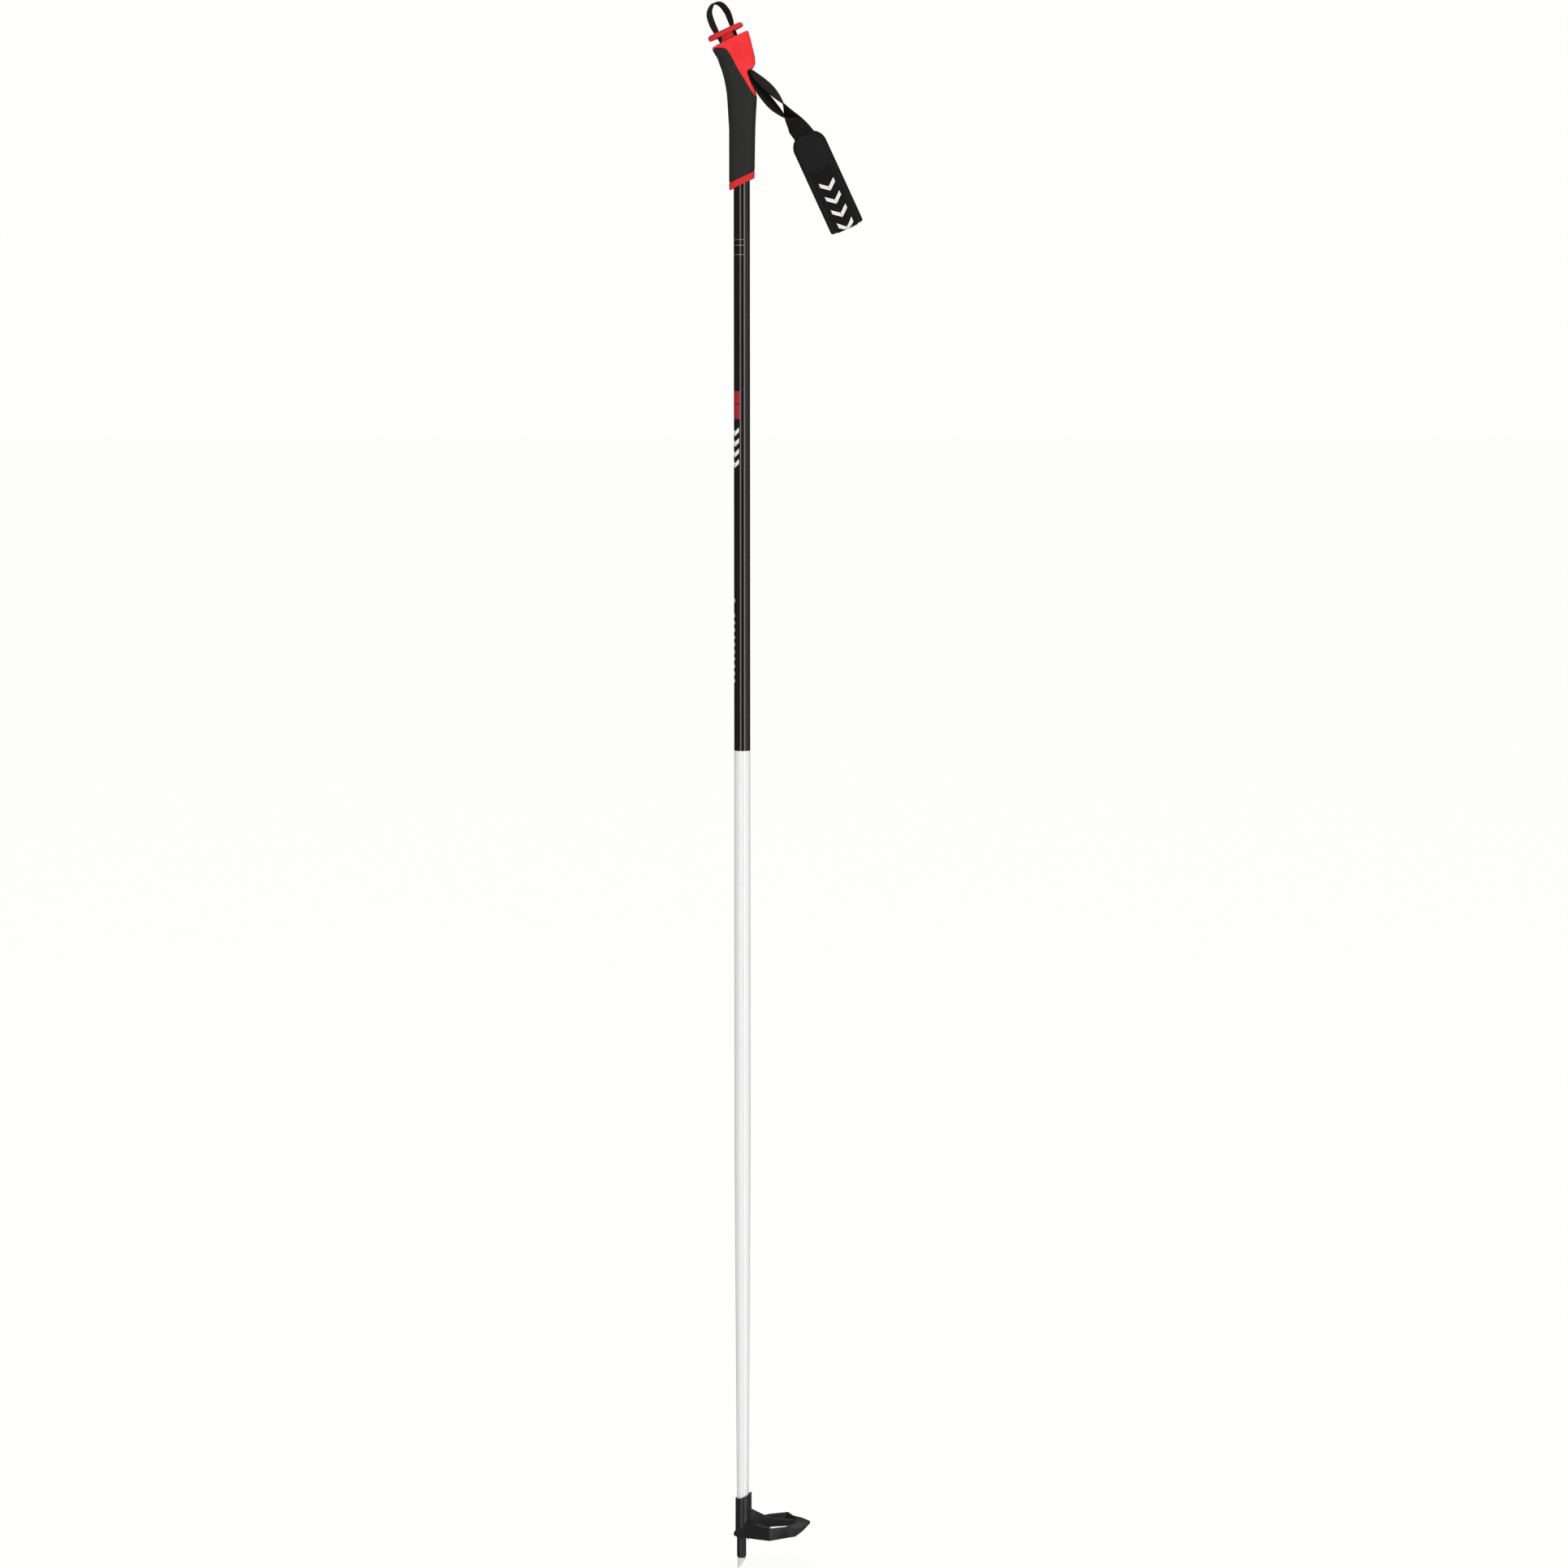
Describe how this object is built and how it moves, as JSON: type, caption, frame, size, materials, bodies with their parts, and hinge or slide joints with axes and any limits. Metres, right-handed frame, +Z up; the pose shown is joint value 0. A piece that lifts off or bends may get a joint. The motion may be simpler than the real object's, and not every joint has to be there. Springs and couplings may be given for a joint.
{
  "type": "ski pole",
  "caption": "Cross-country touring ski pole with a tapered alloy tube, a two-material grip with wedge-locked wrist strap, and a half-moon basket over a steel spike.",
  "frame": {"origin": "on the tube's axis, level with the end of the spike", "axes": "+Z up the tube towards the grip, +X towards the rear of the grip (the side the strap leaves from), +Y away from a viewer who sees the grip lean to the left"},
  "size_m": [0.1539, 0.066, 1.5685],
  "materials": {
    "shaft_white": "gloss white lacquer on alloy tube",
    "shaft_black": "gloss black lacquer with printed graphics",
    "hot_glue": "set hot-melt adhesive",
    "red_plastic": "satin moulded red",
    "grip_rubber": "matte soft-touch rubber",
    "webbing": "woven nylon webbing",
    "pad_fabric": "knit-faced foam",
    "pad_lining": "brushed lining",
    "printed_tape": "woven tape with a white pattern",
    "basket_plastic": "semi-gloss moulded black",
    "spike_steel": "ground hardened steel",
    "print_white": "white screen print",
    "print_red": "red screen print",
    "print_silver": "silver screen print",
    "thread": "bonded sewing thread"
  },
  "bodies": {
    "pole": {"shaft_tube": "shaft_white", "grip_glue": "hot_glue", "basket_glue": "hot_glue", "grip_core": "red_plastic", "grip_sleeve": "grip_rubber", "grip_end_ring": "red_plastic", "channel_webbing_front": "webbing", "channel_webbing_rear": "webbing", "basket": "basket_plastic", "tip_ferrule": "basket_plastic", "tip_spike": "spike_steel"},
    "wedge": {"strap_wedge": "red_plastic", "pull_loop": "webbing"},
    "strap_webbing": {"strap_strand_upper": "webbing", "strap_strand_lower": "webbing"},
    "wrist_pad": {"pad_band": "pad_fabric", "pad_lining": "pad_lining", "pad_tape": "printed_tape", "pad_binding_front": "webbing", "pad_binding_rear": "webbing", "pad_cover_near": "pad_fabric", "pad_cover_far": "pad_fabric"}
  },
  "joints": [
    {"name": "wedge_slide", "type": "slide", "parent": "pole", "child": "wedge", "axis": [-0.4226, 0, 0.9063], "range_m": [-0.005, 0.008]},
    {"name": "strap_swing", "type": "hinge", "parent": "pole", "child": "strap_webbing", "pos_m": [0.0083, 0, 1.5], "axis": [0, 1, 0], "range_deg": [-56, 4]},
    {"name": "pad_swing", "type": "hinge", "parent": "strap_webbing", "child": "wrist_pad", "pos_m": [0.061, 0, 1.4411], "axis": [0.9078, 0, 0.4194], "range_deg": [-50, 50]}
  ]
}
